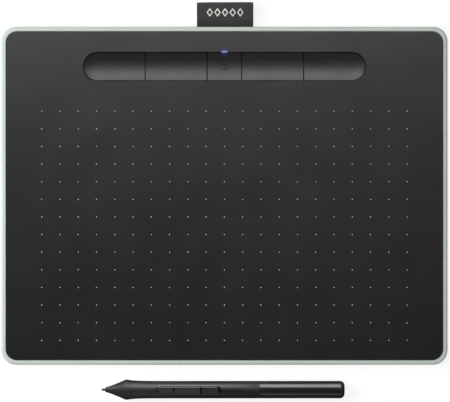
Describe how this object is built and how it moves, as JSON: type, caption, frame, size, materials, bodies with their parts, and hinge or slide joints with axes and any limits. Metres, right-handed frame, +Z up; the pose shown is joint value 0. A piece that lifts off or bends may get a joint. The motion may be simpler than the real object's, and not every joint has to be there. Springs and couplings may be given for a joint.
{
  "type": "pen drawing tablet",
  "caption": "Thin black pen tablet with a pale rim, a concave row of press keys round a power key, a status light and a fabric pen loop, with its pen lying in front.",
  "frame": {"origin": "centre of the footprint of the tablet, its loop and its pen, on the desk", "axes": "+X to the right along the tablet's width, +Y away from the user towards the loop, +Z up"},
  "size_m": [0.264, 0.2354, 0.0121],
  "materials": {
    "shell": "fine satin, pale grey-green",
    "cover": "fine matte, near black",
    "keys": "fine satin, near black",
    "light": "clear with a blue glow",
    "led": "gloss",
    "switch_body": "matte",
    "plunger": "matte",
    "circuit_board": "green solder mask",
    "main_board": "black solder mask",
    "chip": "matte",
    "steel": "plain",
    "battery_foil": "dull foil",
    "wire": "insulation",
    "connector": "matte",
    "foot": "matte",
    "rating": "matte",
    "woven": "close woven",
    "pen_front": "soft satin",
    "pen_back": "semi-gloss",
    "pen_trim": "satin",
    "nib": "matte",
    "chassis": "matte",
    "ferrite": "dull",
    "coil": "enamelled wire"
  },
  "bodies": {
    "tablet": {"back_shell": "shell", "front_cover": "cover", "status_light_pipe": "light", "status_led": "led", "key_switches": "switch_body", "main_board": "main_board", "controller_chips": "chip", "wireless_module": "steel", "usb_socket": "steel", "battery": "battery_foil", "battery_lead": "wire", "battery_connector": "connector", "ribbon_connector": "connector", "ribbon_cable": "connector", "sensor_board": "circuit_board", "shield_plate": "steel", "rubber_feet": "foot", "case_screws": "steel", "board_screws": "steel", "rating_plate": "rating", "loop_hem": "woven", "loop_clamp": "steel", "clamp_screws": "steel"},
    "key_1": {"express_key_1": "keys", "key_plunger_1": "plunger"},
    "key_2": {"express_key_2": "keys", "key_plunger_2": "plunger"},
    "key_3": {"express_key_3": "keys", "key_plunger_3": "plunger"},
    "key_4": {"express_key_4": "keys", "key_plunger_4": "plunger"},
    "power": {"power_key": "keys", "power_plunger": "plunger"},
    "loop": {"pen_loop": "woven"},
    "pen": {"pen_front_barrel": "pen_front", "pen_chassis": "chassis", "pen_board": "circuit_board", "side_switch_domes": "steel", "pressure_sensor": "chip", "ferrite_core": "ferrite", "antenna_coil": "coil", "spare_nibs": "nib"},
    "pen_tail": {"pen_rear_barrel": "pen_back", "pen_end_cap": "pen_trim"},
    "nib_seat": {"nib_plunger": "plunger"},
    "nib": {"pen_nib": "nib"},
    "lower_switch": {"side_switch_lower": "pen_trim"},
    "upper_switch": {"side_switch_upper": "pen_trim"}
  },
  "joints": [
    {"name": "key_1_press", "type": "slide", "parent": "tablet", "child": "key_1", "axis": [0, 0, -1], "range_m": [0, 0.0004], "stiffness_N_per_m": 2000, "springref_m": -0.0002},
    {"name": "key_2_press", "type": "slide", "parent": "tablet", "child": "key_2", "axis": [0, 0, -1], "range_m": [0, 0.0004], "stiffness_N_per_m": 2000, "springref_m": -0.0002},
    {"name": "key_3_press", "type": "slide", "parent": "tablet", "child": "key_3", "axis": [0, 0, -1], "range_m": [0, 0.0004], "stiffness_N_per_m": 2000, "springref_m": -0.0002},
    {"name": "key_4_press", "type": "slide", "parent": "tablet", "child": "key_4", "axis": [0, 0, -1], "range_m": [0, 0.0004], "stiffness_N_per_m": 2000, "springref_m": -0.0002},
    {"name": "power_press", "type": "slide", "parent": "tablet", "child": "power", "axis": [0, 0, -1], "range_m": [0, 0.0004], "stiffness_N_per_m": 2000, "springref_m": -0.0002},
    {"name": "loop_fold", "type": "hinge", "parent": "tablet", "child": "loop", "pos_m": [0, 0.10393, 0.0046], "axis": [1, 0, 0], "range_deg": [-4, 45], "stiffness_Nm_per_rad": 0.01},
    {"name": "pen_lift", "type": "slide", "parent": "tablet", "child": "pen", "axis": [0, 0, 1], "range_m": [0, 0.08]},
    {"name": "tail_pull", "type": "slide", "parent": "pen", "child": "pen_tail", "axis": [1, 0, -0.0071], "range_m": [0, 0.032]},
    {"name": "nib_press", "type": "slide", "parent": "pen", "child": "nib_seat", "axis": [1, 0, -0.0071], "range_m": [0, 0.0004], "stiffness_N_per_m": 5000, "springref_m": -0.0001},
    {"name": "nib_pull", "type": "slide", "parent": "nib_seat", "child": "nib", "axis": [-1, 0, 0.0071], "range_m": [0, 0.021]},
    {"name": "lower_switch_press", "type": "slide", "parent": "pen", "child": "lower_switch", "axis": [-0.0071, 0, -1], "range_m": [0, 0.0003], "stiffness_N_per_m": 2500, "springref_m": -0.0001},
    {"name": "upper_switch_press", "type": "slide", "parent": "pen", "child": "upper_switch", "axis": [-0.0071, 0, -1], "range_m": [0, 0.0003], "stiffness_N_per_m": 2500, "springref_m": -0.0001}
  ]
}
